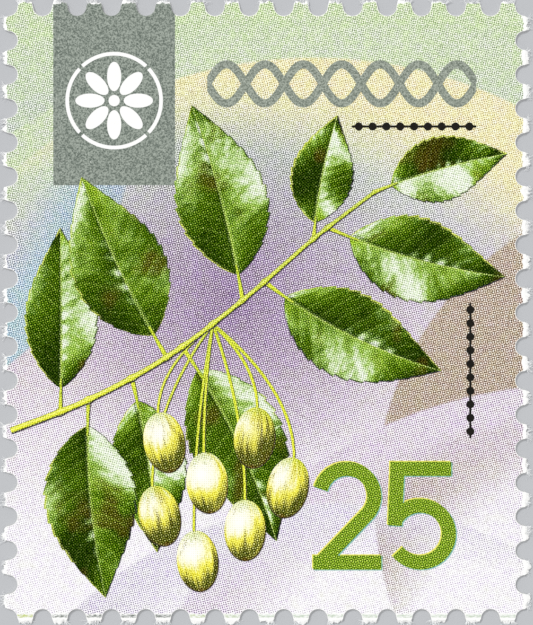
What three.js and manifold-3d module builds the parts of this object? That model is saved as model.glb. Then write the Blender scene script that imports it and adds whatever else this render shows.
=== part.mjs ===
// A perforated, gummed postage stamp that lies face up.
// Millimetres, +Z up out of the printed face, +Y towards the top of the picture.
// The origin is the middle of the gummed back.
//
// From the back up it is a film of gum, a sheet of coated paper with a comb-perforated edge, and
// films of ink: a ground tint, sweeps of colour, a silver corner block, and a leafy twig with fruit.
import * as THREE from "three";
import { mergeVertices } from "three/addons/utils/BufferGeometryUtils.js";
import Module from "manifold-3d";

const wasm = await Module();
wasm.setup();

// ---- Driving dimensions ----------------------------------------------------------------------

// Perforation: distance between holes along each side, and how many such spaces a side has.
const PITCH = { across: 20 / 13.75, down: 1.435 };
const SPACES = { across: 15, down: 18 };
const HOLE_RADIUS = 0.4;

const GUM = 0.012;
const PAPER = 0.09;
const INK = 0.004; // one pass of ink

const WIDTH = PITCH.across * SPACES.across;
const HEIGHT = PITCH.down * SPACES.down;

// Torn edge: how far the paper, the gum and the print stand out past the row of hole centres on each
// side, or end short of it where the number is negative. The print stops well short of the bottom
// row, where the next stamp of the sheet began.
const SIDES = ["bottom", "right", "top", "left"];
const PAPER_PAST = { bottom: 0.11, right: 0.14, top: 0.2, left: 0.17 };
const GUM_PAST = { bottom: 0.06, right: 0.08, top: 0.14, left: 0.12 };
const PRINT_PAST = { bottom: -0.22, right: -0.16, top: 0.08, left: -0.06 };
const TEAR = 0.05; // how far a tooth's end wanders from its line
const TIP_PLACES = [0.1, 0.5, 0.9]; // where a tooth's end has points, as shares of its width
const HOLE_STEPS = 6;

// Sweeps of colour are kept inside the line that the hole roots touch.
const FIELD_INSET = HOLE_RADIUS + 0.08;

const FACE = GUM + PAPER;
const level = (pass) => FACE + pass * INK; // underside of a given ink pass

const BLOCK = { left: -9.0, right: -3.86, bottom: 5.37 };

// ---- Small helpers ---------------------------------------------------------------------------

const DEG = Math.PI / 180;
const point = (x, y) => new THREE.Vector2(x, y);
const along = (a, b, t) => a.clone().lerp(b, t);
const turned = (angle, length = 1) => point(Math.cos(angle) * length, Math.sin(angle) * length);
const leftOf = (v) => point(-v.y, v.x);

// A repeatable number from -1 to 1 for each whole number.
function wander(seed) {
  const s = Math.sin(seed * 12.9898) * 43758.5453;
  return 2 * (s - Math.floor(s)) - 1;
}

// ---- Solids from outlines --------------------------------------------------------------------

function extruded(outline, bottom, thickness) {
  const geometry = new THREE.ExtrudeGeometry(new THREE.Shape(outline), {
    depth: thickness,
    bevelEnabled: false,
    curveSegments: 1,
  });
  return geometry.translate(0, 0, bottom);
}

function solid(outline, bottom, thickness) {
  const geometry = extruded(outline, bottom, thickness);
  geometry.deleteAttribute("normal");
  geometry.deleteAttribute("uv");
  const merged = mergeVertices(geometry, 1e-4);
  return new wasm.Manifold(
    new wasm.Mesh({
      numProp: 3,
      vertProperties: merged.attributes.position.array,
      triVerts: new Uint32Array(merged.index.array),
    }),
  );
}

const union = (solids) => solids.reduce((sum, next) => sum.add(next));

// The largest body of a solid: scraps that a cut leaves by themselves are dropped.
function largest(made) {
  const bodies = made.decompose();
  return bodies.reduce((best, body) => (body.volume() > best.volume() ? body : best));
}

function geometryOf(made) {
  const { vertProperties, triVerts } = made.getMesh();
  const geometry = new THREE.BufferGeometry();
  geometry.setAttribute("position", new THREE.BufferAttribute(new Float32Array(vertProperties), 3));
  geometry.setIndex(new THREE.BufferAttribute(new Uint32Array(triVerts), 1));
  geometry.computeVertexNormals();
  return geometry;
}

// ---- Outlines --------------------------------------------------------------------------------

// The stamp's edge, anticlockwise. Each side runs along a row of holes, whose first and last are
// centred on the corners. past says how far out the tooth ends stand, side by side, and ragged
// roughens them. Hole walls start at the row, or inside it where the tooth ends do.
function perforatedOutline(past, ragged) {
  const corners = [
    point(-WIDTH / 2, -HEIGHT / 2),
    point(WIDTH / 2, -HEIGHT / 2),
    point(WIDTH / 2, HEIGHT / 2),
    point(-WIDTH / 2, HEIGHT / 2),
  ];
  const startAngle = (side) => Math.asin(Math.max(-past[SIDES[side % 4]], 0) / HOLE_RADIUS);
  const outline = [];
  corners.forEach((corner, side) => {
    const next = corners[(side + 1) % 4];
    const run = next.clone().sub(corner).normalize();
    const inward = leftOf(run);
    const spaces = side % 2 ? SPACES.down : SPACES.across;
    const start = startAngle(side);
    const edge = HOLE_RADIUS * Math.cos(start);
    const out = past[SIDES[side]];
    for (let k = 0; k < spaces; k++) {
      const hole = along(corner, next, k / spaces);
      const nextHole = along(corner, next, (k + 1) / spaces);
      const tipStart = hole.clone().addScaledVector(run, edge);
      const tipEnd = nextHole.clone().addScaledVector(run, -edge);
      TIP_PLACES.forEach((place, i) => {
        const torn = ragged * wander(101 * side + 7 * k + 3 * i) - out;
        outline.push(along(tipStart, tipEnd, place).addScaledVector(inward, torn));
      });
      const end = k + 1 < spaces ? Math.PI - start : Math.PI / 2 - startAngle(side + 1);
      for (let i = 0; i <= HOLE_STEPS; i++) {
        const a = start + (end - start) * (i / HOLE_STEPS);
        outline.push(
          nextHole
            .clone()
            .addScaledVector(run, -HOLE_RADIUS * Math.cos(a))
            .addScaledVector(inward, HOLE_RADIUS * Math.sin(a)),
        );
      }
    }
  });
  return outline;
}

function rectangle(left, bottom, right, top) {
  return [point(left, bottom), point(right, bottom), point(right, top), point(left, top)];
}

function ellipse(centre, rx, ry, turn = 0, steps = 24) {
  return Array.from({ length: steps }, (_, i) => {
    const a = (i / steps) * 2 * Math.PI;
    return point(rx * Math.cos(a), ry * Math.sin(a)).rotateAround(point(0, 0), turn).add(centre);
  });
}

// A line of ink of changing width: widths runs from the line's start to its end.
function strokeOutline(line, widths) {
  const sides = line.map((p, i) => {
    const before = line[Math.max(i - 1, 0)];
    const after = line[Math.min(i + 1, line.length - 1)];
    const normal = leftOf(after.clone().sub(before).normalize());
    const width = THREE.MathUtils.lerp(widths[0], widths[1], i / (line.length - 1));
    return [
      p.clone().addScaledVector(normal, -width / 2),
      p.clone().addScaledVector(normal, width / 2),
    ];
  });
  return [...sides.map((s) => s[0]), ...sides.map((s) => s[1]).reverse()];
}

// ---- The twig and what grows on it -----------------------------------------------------------

const TWIG = new THREE.SplineCurve(
  [
    [-10.78, -5.0],
    [-7.5, -3.7],
    [-4.2, -1.9],
    [-1.0, 0.5],
    [2.0, 3.1],
    [4.6, 5.1],
  ].map(([x, y]) => point(x, y)),
);
const TWIG_WIDTHS = [0.3, 0.17];
const STALK_WIDTHS = [0.14, 0.1];
const FRUIT_NODE = 0.52; // where the fruit stalks leave the twig

// at: place on the twig from 0 to 1; angle in degrees; bend: sideways drift of the tip as a share of
// the length; pass: the ink pass that carries the leaf, so that leaves that cross lie on each other.
const LEAVES = [
  { at: 0.135, angle: 89, length: 7.8, width: 3.0, bend: 0.02, pass: 2 },
  { at: 0.2, angle: -93, length: 8.3, width: 3.8, bend: 0.14, pass: 3 },
  { at: 0.31, angle: -76, length: 7.4, width: 3.1, bend: -0.1, pass: 2 },
  { at: 0.4, angle: 121, length: 8.4, width: 3.9, bend: -0.1, pass: 3 },
  { at: 0.44, angle: -55, length: 9.0, width: 3.9, bend: -0.16, pass: 3 },
  { at: 0.6, angle: 99, length: 8.5, width: 3.8, bend: 0.1, pass: 2 },
  { at: 0.66, angle: -38, length: 8.2, width: 3.6, bend: 0.2, pass: 2 },
  { at: 0.8, angle: 86, length: 5.3, width: 2.6, bend: -0.12, pass: 3 },
  { at: 0.84, angle: -24, length: 7.7, width: 3.5, bend: 0.15, pass: 3 },
  { at: 0.995, angle: 23, length: 5.8, width: 2.7, bend: -0.12, pass: 2 },
];
const LEAF = { stalk: 0.13, steps: 26, teeth: 13, toothDepth: 0.07 };

// x and y: middle of each fruit; lean in degrees from hanging straight down.
const FRUITS = [
  { x: -4.3, y: -5.5, lean: 12, pass: 5 },
  { x: -2.5, y: -7.2, lean: 6, pass: 6 },
  { x: -0.5, y: -5.3, lean: -5, pass: 5 },
  { x: -4.5, y: -8.6, lean: 14, pass: 5 },
  { x: -0.9, y: -9.2, lean: 0, pass: 5 },
  { x: 0.9, y: -7.4, lean: -12, pass: 6 },
  { x: -2.9, y: -10.5, lean: 7, pass: 6 },
];
const FRUIT = { halfWidth: 0.88, halfLength: 1.3 };

// A leaf's midrib: straight out of the twig at its angle, drifting sideways with the square of the way.
function midrib(leaf, t) {
  const out = turned(leaf.angle * DEG);
  return TWIG.getPoint(leaf.at)
    .addScaledVector(out, leaf.length * t)
    .addScaledVector(leftOf(out), leaf.bend * leaf.length * t * t);
}

// Half the blade's width, s running from the foot of the blade to its tip.
function halfWidth(leaf, s) {
  const swell = Math.sin(Math.PI * s ** 0.82) ** 0.9 * (1 - 0.25 * s ** 4);
  const tooth = 1 + LEAF.toothDepth * ((s * LEAF.teeth) % 1);
  return (leaf.width / 2) * swell * tooth;
}

function leafOutline(leaf) {
  const left = [];
  const right = [];
  for (let i = 1; i < LEAF.steps; i++) {
    const s = i / LEAF.steps;
    const t = LEAF.stalk + (1 - LEAF.stalk) * s;
    const here = midrib(leaf, t);
    const normal = leftOf(midrib(leaf, t + 0.01).sub(here).normalize());
    left.push(here.clone().addScaledVector(normal, halfWidth(leaf, s)));
    right.push(here.clone().addScaledVector(normal, -halfWidth(leaf, s)));
  }
  return [midrib(leaf, LEAF.stalk), ...right, midrib(leaf, 1), ...left.reverse()];
}

// The twig, the leaf stalks and the fruit stalks are one piece.
function twigSolid() {
  const pass = [level(4), INK];
  const samples = (steps, place) => Array.from({ length: steps + 1 }, (_, i) => place(i / steps));
  const strokes = [solid(strokeOutline(TWIG.getPoints(48), TWIG_WIDTHS), ...pass)];
  for (const leaf of LEAVES) {
    const line = samples(3, (t) => midrib(leaf, t * (LEAF.stalk + 0.04)));
    strokes.push(solid(strokeOutline(line, STALK_WIDTHS), ...pass));
  }
  const node = TWIG.getPoint(FRUIT_NODE);
  for (const fruit of FRUITS) {
    const hang = turned((fruit.lean + 90) * DEG, FRUIT.halfLength);
    const top = point(fruit.x, fruit.y).add(hang);
    const sag = point(top.x, (node.y + top.y) / 2);
    const curve = new THREE.QuadraticBezierCurve(node, sag, top);
    strokes.push(solid(strokeOutline(curve.getPoints(8), STALK_WIDTHS), ...pass));
  }
  return union(strokes);
}

// ---- Ground, sweeps and block ----------------------------------------------------------------

// Each sweep is a crescent: what a disc leaves outside a second disc.
const SWEEPS = [
  { name: "sweep_blue", disc: [-19, 2, 15.5], less: [-21.5, 3.5, 14.5], color: 0xb2c8dc },
  { name: "sweep_mint", disc: [4, -14, 26.2], less: [5.5, -18, 26.5], color: 0xbcd6c8 },
  { name: "sweep_cream", disc: [-2, -9, 18.6], less: [-4.6, -12.6, 19.6], color: 0xf2e0b4 },
  { name: "sweep_peach", disc: [18, -8, 13.5], less: [21, -10.5, 13], color: 0xead2ba },
  { name: "sweep_rose", disc: [13, -20, 19.5], less: [15.5, -23, 19.5], color: 0xe9d2d8 },
  { name: "sweep_lilac", disc: [3, -24, 16], less: [6, -27.5, 17], color: 0xd4c4e4 },
];

function discSolid([x, y, radius], bottom, thickness) {
  return solid(ellipse(point(x, y), radius, radius, 0, 120), bottom, thickness);
}

function sweepSolids() {
  const field = solid(
    rectangle(
      -WIDTH / 2 + FIELD_INSET,
      -HEIGHT / 2 + FIELD_INSET,
      WIDTH / 2 - FIELD_INSET,
      HEIGHT / 2 - FIELD_INSET,
    ),
    level(1),
    INK,
  );
  let free = field.subtract(blockField());
  return SWEEPS.map((sweep) => {
    const shape = discSolid(sweep.disc, level(0), 3 * INK).subtract(
      discSolid(sweep.less, level(-1), 5 * INK),
    );
    const made = largest(free.intersect(shape));
    free = free.subtract(shape);
    return { ...sweep, made };
  });
}

const printedEdge = () => perforatedOutline(PRINT_PAST, TEAR / 2);
const blockField = () => solid(rectangle(BLOCK.left, BLOCK.bottom, BLOCK.right, HEIGHT), FACE - INK, 3 * INK);
const groundSolid = () => solid(printedEdge(), level(0), INK).subtract(blockField());

// The silver block with a rosette of bare paper in it: a ring, a hub and eight petals.
const ROSETTE = { petals: 8, petal: [0.62, 0.3], reach: 1.02, hub: 0.24, ring: [1.9, 2.06], bridge: 0.16 };

function blockSolid() {
  const centre = point((BLOCK.left + BLOCK.right) / 2, (BLOCK.bottom + HEIGHT / 2) / 2 - 0.2);
  const cut = [FACE - INK, 3 * INK];
  const bare = [solid(ellipse(centre, ROSETTE.hub, ROSETTE.hub, 0, 16), ...cut)];
  for (let i = 0; i < ROSETTE.petals; i++) {
    const turn = (i / ROSETTE.petals) * 2 * Math.PI;
    const middle = centre.clone().add(turned(turn, ROSETTE.reach));
    bare.push(solid(ellipse(middle, ...ROSETTE.petal, turn, 20), ...cut));
  }
  const [inner, outer] = ROSETTE.ring.map((r) => solid(ellipse(centre, r, r, 0, 48), ...cut));
  // The ring is broken at four places, so that the block stays one piece.
  const bridges = [45, 135].map((angle) => {
    const ends = [-1, 1].map((way) => centre.clone().add(turned(angle * DEG, way * 1.2 * ROSETTE.ring[1])));
    return solid(strokeOutline(ends, [ROSETTE.bridge, ROSETTE.bridge]), ...cut);
  });
  const ring = outer.subtract(inner).subtract(union(bridges));
  const whole = solid(printedEdge(), level(0), INK).intersect(blockField());
  return whole.subtract(ring).subtract(union(bare));
}

// ---- Silver chain, beaded rules and numerals --------------------------------------------------

const CHAIN = { left: -2.5, right: 8.85, middle: 9.65, reach: 0.82, links: 7, width: 0.34 };

// Two waves that cross: a plain chain of open links.
function chainSolid() {
  const wave = (sign) => {
    const line = Array.from({ length: 8 * CHAIN.links + 1 }, (_, i) => {
      const t = i / (8 * CHAIN.links);
      const y = sign * CHAIN.reach * Math.sin(t * CHAIN.links * Math.PI);
      return point(THREE.MathUtils.lerp(CHAIN.left, CHAIN.right, t), CHAIN.middle + y);
    });
    return solid(strokeOutline(line, [CHAIN.width, CHAIN.width]), level(2), INK);
  };
  return wave(1).add(wave(-1));
}

const RULE = { width: 0.09, bead: 0.17 };

// A thin rule with beads strung on it at even distances.
function ruleSolid(start, end, beads) {
  const made = [solid(strokeOutline([start, end], [RULE.width, RULE.width]), level(2), INK)];
  for (let i = 0; i < beads; i++) {
    const centre = along(start, end, (i + 0.5) / beads);
    made.push(solid(ellipse(centre, RULE.bead, RULE.bead, 0, 8), level(2), INK));
  }
  return union(made);
}

const DIGIT = { height: 4.55, width: 2.9, stroke: 0.6, steps: 28 };

// Strokes of a digit in its own box, whose lower left corner is at the origin.
function digitLines(digit) {
  const half = DIGIT.stroke / 2;
  const [left, right] = [half, DIGIT.width - half];
  const [bottom, top] = [half, DIGIT.height - half];
  const arc = (cx, cy, rx, ry, from, to) =>
    Array.from({ length: DIGIT.steps + 1 }, (_, i) => {
      const a = THREE.MathUtils.lerp(from, to, i / DIGIT.steps) * DEG;
      return point(cx + rx * Math.cos(a), cy + ry * Math.sin(a));
    });
  const middle = (left + right) / 2;
  const reach = (right - left) / 2;
  if (digit === 2) {
    const bowl = arc(middle, top - reach, reach, reach, 165, -38);
    return [
      [...bowl, point(left + 0.1, bottom + 0.05)],
      [point(0.02, bottom), point(DIGIT.width, bottom)],
    ];
  }
  return [
    [point(left - 0.18, top), point(DIGIT.width - 0.2, top)],
    [point(left + 0.12, top), point(left + 0.02, bottom + 1.55)],
    arc(middle - 0.06, bottom + 1.2, reach + 0.06, 1.2, 150, -142),
  ];
}

function digitSolid(digit, x, y) {
  return union(
    digitLines(digit).map((line) =>
      solid(
        strokeOutline(
          line.map((p) => p.clone().add(point(x, y))),
          [DIGIT.stroke, DIGIT.stroke],
        ),
        level(2),
        INK,
      ),
    ),
  );
}

// ---- Assembly --------------------------------------------------------------------------------

const stamp = new THREE.Group();

function add(name, geometry, color, roughness = 0.5, metalness = 0) {
  const material = new THREE.MeshStandardMaterial({ color, roughness, metalness });
  const mesh = new THREE.Mesh(geometry, material);
  mesh.name = name;
  stamp.add(mesh);
}

add("gum_film", extruded(perforatedOutline(GUM_PAST, 0), 0, GUM), 0xe9e4d0, 0.25);
add("paper_sheet", extruded(perforatedOutline(PAPER_PAST, TEAR), GUM, PAPER), 0xf4f3ee, 0.6);
add("ground_tint", geometryOf(groundSolid()), 0xcfc2d6);
for (const { name, made, color } of sweepSolids()) add(name, geometryOf(made), color);
add("corner_block", geometryOf(blockSolid()), 0x8c918b, 0.4, 0.7);
add("silver_chain", geometryOf(chainSolid()), 0x8c918b, 0.4, 0.7);
add("rule_across", geometryOf(ruleSolid(point(3.6, 7.85), point(8.85, 7.85), 9)), 0x17150f);
add("rule_down", geometryOf(ruleSolid(point(8.6, 0.4), point(8.6, -5.3), 10)), 0x17150f);
add("numeral_2", geometryOf(digitSolid(2, 1.95, -10.85)), 0x6f9c1c);
add("numeral_5", geometryOf(digitSolid(5, 5.1, -10.85)), 0x6f9c1c);

LEAVES.forEach((leaf, i) => {
  add(`leaf_${i + 1}`, extruded(leafOutline(leaf), level(leaf.pass), INK), i % 2 ? 0x4f8428 : 0x3a6a1c, 0.4);
});
add("twig", geometryOf(twigSolid()), 0x9db62f);
FRUITS.forEach((fruit, i) => {
  const outline = ellipse(point(fruit.x, fruit.y), FRUIT.halfWidth, FRUIT.halfLength, fruit.lean * DEG, 24);
  add(`fruit_${i + 1}`, extruded(outline, level(fruit.pass), INK), 0xece09c);
});

export default stamp;
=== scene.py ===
"""Dresses a perforated postage stamp that lies face up on a pale table."""
import math
from collections import namedtuple

import bpy
import numpy as np
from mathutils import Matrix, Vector, geometry, noise


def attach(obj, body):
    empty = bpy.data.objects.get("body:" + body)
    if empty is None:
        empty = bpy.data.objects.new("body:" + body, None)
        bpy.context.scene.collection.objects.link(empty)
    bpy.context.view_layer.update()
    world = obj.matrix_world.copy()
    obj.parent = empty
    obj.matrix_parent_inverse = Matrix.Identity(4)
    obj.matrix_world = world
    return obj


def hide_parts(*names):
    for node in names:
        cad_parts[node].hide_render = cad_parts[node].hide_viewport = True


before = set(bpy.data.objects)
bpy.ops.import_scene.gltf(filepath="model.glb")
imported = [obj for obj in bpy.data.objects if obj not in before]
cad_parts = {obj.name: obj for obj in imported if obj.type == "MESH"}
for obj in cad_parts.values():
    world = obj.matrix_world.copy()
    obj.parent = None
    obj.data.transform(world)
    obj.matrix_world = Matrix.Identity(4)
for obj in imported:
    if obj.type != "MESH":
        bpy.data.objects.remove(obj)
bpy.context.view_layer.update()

# ---- Sizes, in millimetres ----

MM = 0.001
PITCH = {"across": 20 / 13.75, "down": 1.435}
SPACES = {"across": 15, "down": 18}
HOLE_RADIUS = 0.4
WIDTH = PITCH["across"] * SPACES["across"]
HEIGHT = PITCH["down"] * SPACES["down"]
CORNERS = np.array([(-1, -1), (1, -1), (1, 1), (-1, 1)]) * (WIDTH / 2, HEIGHT / 2)
SIDES = ("bottom", "right", "top", "left")

GUM = 0.012
PAPER = 0.09
INK = 0.004
FACE = GUM + PAPER
TOP = FACE + 7 * INK  # the top of the highest pass of ink

BLOCK = {"left": -9.0, "right": -3.86, "bottom": 5.37}
ROSETTE = {
    "drop": 0.2,  # how far its middle lies below the block's
    "hub": 0.24,
    "petals": 8,
    "petal": (0.62, 0.3),  # half a petal's length and width
    "reach": 1.02,  # from the rosette's middle to a petal's
    "ring": (1.9, 2.06),
    "bridge": 0.08,
}
CHAIN = {"left": -2.5, "right": 8.85, "middle": 9.65, "reach": 0.82, "links": 7, "width": 0.34}
RULE = {"width": 0.09, "bead": 0.17}
# Each rule's start, end and number of beads.
RULES = {"across": ((3.6, 7.85), (8.85, 7.85), 9), "down": ((8.6, 0.4), (8.6, -5.3), 10)}

# How far out past the row of hole centres the torn paper and the print reach on each side. The
# print on the bottom and right teeth ends short of the row.
PAPER_PAST = {"bottom": 0.18, "right": 0.14, "top": 0.2, "left": 0.17}
PRINT_PAST = {"bottom": -0.22, "right": -0.11, "top": 0.14, "left": 0.04}
SCREEN = 0.092  # distance between the print's dots


def level(number):
    """The underside of a given pass of ink."""
    return FACE + number * INK


def linear(red, green, blue):
    """A screen colour, 0 to 255, as linear light."""
    parts = np.array((red, green, blue)) / 255
    return np.where(parts <= 0.04045, parts / 12.92, ((parts + 0.055) / 1.055) ** 2.4)


def smooth(x, low, high):
    """A smooth step from 0 at low to 1 at high."""
    t = np.clip((x - low) / (high - low), 0, 1)
    return t * t * (3 - 2 * t)


def bell(x, width):
    """1 where x is 0, falling off over about a width on both sides."""
    return np.exp(-((x / width) ** 2))


def mixed(a, b, share):
    """Colours a and b mixed, share by share."""
    return np.asarray(a) + (np.asarray(b) - np.asarray(a)) * np.asarray(share)[..., None]


def unit(v):
    return v / np.linalg.norm(v, axis=-1, keepdims=True)


def left_of(v):
    """Vectors after a quarter turn to the left."""
    return np.stack([-v[..., 1], v[..., 0]], axis=-1)


def heading(angle):
    return np.array((math.cos(angle), math.sin(angle)))


def turned(x, y, angle):
    """Points after a turn round the origin."""
    c, s = heading(angle)
    return np.stack([x * c - y * s, x * s + y * c], axis=-1)


# ---- Nodes ----


def is_socket(value):
    return isinstance(value, bpy.types.NodeSocket)


def node(kind, feeds, tree=None, **settings):
    """The outputs of a new node. feeds says what goes into which of its inputs. The node joins the
    tree of the sockets that feed it, unless a tree is given."""
    tree = tree or next(value.id_data for value in feeds.values() if is_socket(value))
    made = tree.nodes.new("ShaderNode" + kind)
    for name, value in settings.items():
        setattr(made, name, value)
    for name, value in feeds.items():
        if is_socket(value):
            tree.links.new(value, made.inputs[name])
        else:
            made.inputs[name].default_value = value
    return made.outputs


def maths(operation, *values, clamp=False):
    return node("Math", dict(enumerate(values)), operation=operation, use_clamp=clamp)[0]


def contrast(value, gain, lift):
    """The value times gain, plus lift, kept from 0 to 1."""
    return maths("MULTIPLY_ADD", value, gain, lift, clamp=True)


def colour_mix(factor, a, b, kind="MIX"):
    """Two colours mixed. The node takes colours in at sockets 6 and 7 and gives one out at 2."""
    a, b = (c if is_socket(c) else (*c, 1) for c in (a, b))
    return node("Mix", {0: factor, 6: a, 7: b}, data_type="RGBA", blend_type=kind)[2]


def position(part):
    """The place on the stamp, in millimetres, in the tree that a node or socket is in."""
    place = node("TexCoord", {}, part.id_data)["Object"]
    return node("VectorMath", {0: place, "Scale": 1 / MM}, operation="SCALE")[0]


def noise_value(place, size, detail=2.0, roughness=0.5):
    """Noise from 0 to 1 whose lumps are about size millimetres."""
    feeds = {"Vector": place, "Scale": 1 / size, "Detail": detail, "Roughness": roughness}
    return node("TexNoise", feeds)["Fac"]


def material(name, roughness=0.6, specular=0.06, metallic=0.0):
    made = bpy.data.materials.new(name)
    made.use_nodes = True
    shader = made.node_tree.nodes["Principled BSDF"]
    shader.inputs["Roughness"].default_value = roughness
    shader.inputs["Specular IOR Level"].default_value = specular
    shader.inputs["Metallic"].default_value = metallic
    return made, shader


def coloured(shader, colour):
    shader.id_data.links.new(colour, shader.inputs["Base Color"])


def bumped(shader, height, depth):
    """Gives the shader a relief, depth in millimetres."""
    feeds = {"Strength": 1.0, "Distance": depth * MM, "Height": height}
    shader.id_data.links.new(node("Bump", feeds)[0], shader.inputs["Normal"])


# ---- Print: colours broken into dots of cyan, magenta, yellow and black ----

# For cyan, magenta and yellow: the angle of the screen, and the share of red, green and blue light
# that a solid of the ink takes away. Black takes one share of all three.
ANGLES = (75, 15, 0)
TAKEN = ((0.93, 0.38, 0.10), (0.12, 0.92, 0.45), (0.01, 0.10, 0.93))
BLACK_ANGLE = 45
BLACK_TAKEN = 0.95
BLACK_SHARE = 0.5  # how much of a deep colour's greyness the black ink carries
DOT_EDGE = 0.3
DOT_CUBIC = (1.796, 0.634)  # from a share of cover to the height at which the dots' waves are cut
FIRST_DOTS = 0.04  # the cover up to which dots fade in
DOT_CONTRAST = 0.9  # how hard the dots stand out
TINT_CONTRAST = 0.54  # how much harder they stand out in a pale tint
DARKEST = 0.03  # the least share of a colour's light that is left in a dot
GRAIN = 0.58  # how uneven the inks lie between the dots
GRAIN_SIZE = 0.06
GRAIN_ONSET = 18.0  # how fast the grain sets in as a tint leaves white
FREE = 0.7  # how far a channel can be below its colour's grey, as a share, and still move fully
LIGHTEST = 0.97
GAMMA = 2.2  # from a share of light to the step of grey that the eye sees


def dots(place, angle, cover):
    """1 where a dot of ink lies, for a share of the paper to cover, with soft edges."""
    size = (SCREEN / (2 * math.pi),) * 3
    feeds = {"Vector": place, "Rotation": (0, 0, math.radians(angle)), "Scale": size}
    x, y, _ = node("SeparateXYZ", {0: node("Mapping", feeds, vector_type="TEXTURE")[0]})
    waves = maths("ADD", maths("COSINE", x), maths("COSINE", y))
    waves = maths("MULTIPLY_ADD", waves, 0.25, 0.5)
    middle = maths("SUBTRACT", cover, 0.5)
    slope = maths("MULTIPLY_ADD", maths("MULTIPLY", middle, middle), *DOT_CUBIC)
    cut = maths("MULTIPLY_ADD", middle, slope, 0.5)
    mark = contrast(maths("SUBTRACT", cut, waves), gain=1 / DOT_EDGE, lift=0.5)
    return maths("MULTIPLY", mark, contrast(cover, gain=1 / FIRST_DOTS, lift=0.0))


def what_passes(amounts, channel):
    """The share of one channel's light that passes some inks, given how much there is of each."""
    share = 1.0
    for ink, amount in amounts.items():
        share = maths("MULTIPLY", share, maths("MULTIPLY_ADD", amount, -TAKEN[ink][channel], 1.0))
    return share


def separations(parts):
    """How much of the paper the black covers for a colour, and each of the other inks."""
    brightest = maths("MAXIMUM", maths("MAXIMUM", parts[0], parts[1]), parts[2])
    grey = maths("SUBTRACT", 1.0, brightest)
    black = maths("MULTIPLY", maths("MULTIPLY", grey, grey), BLACK_SHARE)
    left = maths("MULTIPLY_ADD", black, -BLACK_TAKEN, 1.0)
    covers = {}
    # An ink is for one channel. A second round allows for what the others take of that channel.
    for channel in (0, 1, 2, 0, 1, 2):
        covers.pop(channel, None)
        passing = maths("MULTIPLY", left, what_passes(covers, channel))
        missing = maths("SUBTRACT", 1.0, maths("DIVIDE", parts[channel], passing))
        covers[channel] = maths("DIVIDE", missing, TAKEN[channel][channel], clamp=True)
    return black, covers


def overprint(place, black, covers):
    """The light that comes back from the paper through the dots of all the inks."""
    marks = {ink: dots(place, ANGLES[ink], cover) for ink, cover in covers.items()}
    bare = maths("MULTIPLY_ADD", dots(place, BLACK_ANGLE, black), -BLACK_TAKEN, 1.0)
    light = [maths("MULTIPLY", bare, what_passes(marks, channel)) for channel in range(3)]
    return node("CombineColor", dict(enumerate(light)))[0]


def process_screen():
    """A node group that turns a colour into printed dots of about the same average colour."""
    tree = bpy.data.node_groups.new("process_screen", "ShaderNodeTree")
    for way in ("INPUT", "OUTPUT"):
        tree.interface.new_socket("Color", in_out=way, socket_type="NodeSocketColor")
    colour = tree.nodes.new("NodeGroupInput").outputs[0]
    place = position(colour)
    parts = node("SeparateColor", {0: colour})
    seen = node("RGBToBW", {0: overprint(place, *separations(parts))})[0]
    wanted = node("RGBToBW", {0: colour})[0]
    # So fine a screen is seen as light and dark, hardly as colours: a dot moves red, green and blue
    # by the same step of grey, but a channel that the colour has little of moves less.
    gain = maths("MULTIPLY_ADD", wanted, TINT_CONTRAST, DOT_CONTRAST)
    share = maths("SUBTRACT", maths("DIVIDE", seen, wanted), 1.0)
    share = maths("MAXIMUM", maths("MULTIPLY_ADD", share, gain, 1.0), DARKEST)
    share = maths("POWER", share, 1 / GAMMA)
    tone = maths("POWER", wanted, 1 / GAMMA)
    step = maths("MULTIPLY", tone, maths("SUBTRACT", share, 1.0))
    inked = contrast(tone, gain=-GRAIN_ONSET, lift=GRAIN_ONSET)
    uneven = maths("SUBTRACT", noise_value(place, GRAIN_SIZE, detail=0), 0.5)
    step = maths("MULTIPLY_ADD", maths("MULTIPLY", uneven, inked), GRAIN, step)
    light = {}
    for channel in range(3):
        own = maths("POWER", parts[channel], 1 / GAMMA)
        held = maths("ADD", maths("DIVIDE", own, tone), FREE, clamp=True)
        grey = maths("MAXIMUM", maths("MULTIPLY_ADD", step, held, own), 0.0)
        light[channel] = maths("POWER", grey, GAMMA)
    inks = node("CombineColor", light)[0]
    limited = colour_mix(1.0, inks, (LIGHTEST,) * 3, "DARKEN")
    tree.links.new(limited, tree.nodes.new("NodeGroupOutput").inputs[0])
    return tree


screen_group = process_screen()


def printed(shader, colour):
    """Sends a colour through the screen and on to the shader, with the print's faint relief."""
    coloured(shader, node("Group", {0: colour}, node_tree=screen_group)[0])
    bumped(shader, noise_value(position(shader), size=0.12, detail=3), depth=0.002)


# ---- Materials ----


def paper_material():
    """White coated paper: matt, with a faint cloudiness and fine fibres."""
    made, shader = material("coated_paper", specular=0.3)
    place = position(shader)
    clouds = noise_value(place, size=0.9, detail=4)
    coloured(shader, colour_mix(clouds, linear(252, 252, 250), linear(247, 247, 245)))
    fibres = noise_value(place, size=0.05, detail=4, roughness=0.6)
    bumped(shader, fibres, depth=0.004)
    return made


def fibre_material():
    """Torn paper: loose fibres, some white and some in the shade of others."""
    made, shader = material("torn_paper", roughness=0.8, specular=0.1)
    # Painted shade: some fibres are greyed at random, as if they lay in the shade of others.
    shade = contrast(noise_value(position(shader), size=0.06), gain=4.0, lift=-1.2)
    coloured(shader, colour_mix(shade, linear(208, 213, 216), linear(255, 255, 255)))
    return made


def gum_material():
    """Dried gum: a glossy, slightly yellow film with a fine ripple."""
    made, shader = material("gum", roughness=0.22, specular=0.5)
    place = position(shader)
    shade = noise_value(place, size=2.5, detail=3)
    coloured(shader, colour_mix(shade, linear(238, 232, 208), linear(226, 218, 190)))
    bumped(shader, noise_value(place, size=0.35), depth=0.006)
    return made


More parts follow.
